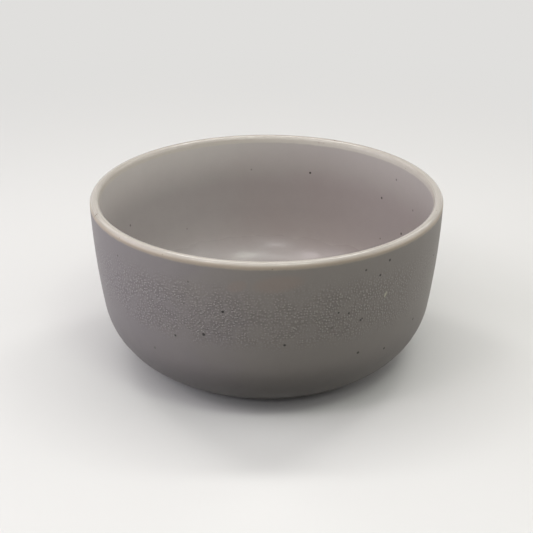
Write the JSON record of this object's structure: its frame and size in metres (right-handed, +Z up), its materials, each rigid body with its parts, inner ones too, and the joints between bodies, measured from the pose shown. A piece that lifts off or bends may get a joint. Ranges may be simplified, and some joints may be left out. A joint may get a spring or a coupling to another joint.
{
  "type": "shaving bowl",
  "caption": "Round glazed stoneware shaving bowl with near-upright walls, a pale rounded lip, a rounded belly and a low turned foot ring.",
  "frame": {"origin": "centre of the foot ring's resting face, on the bowl's axis", "axes": "+Z up along the bowl's axis; the bowl is round, and -Y is the side that the picture shows"},
  "size_m": [0.13, 0.13, 0.0665],
  "materials": {
    "stoneware": "bare fired clay, fine grained and dry to the touch",
    "matt_glaze": "matt warm grey glaze with a pebbled band and dark iron specks",
    "satin_glaze": "smooth satin grey glaze with a few dark iron specks",
    "lip_glaze": "glossy pale cream glaze that fades to grey down each side"
  },
  "bodies": {
    "root": {"stoneware_body": "stoneware", "outer_glaze": "matt_glaze", "inner_glaze": "satin_glaze", "rim_glaze": "lip_glaze", "base_glaze": "matt_glaze"}
  },
  "joints": []
}
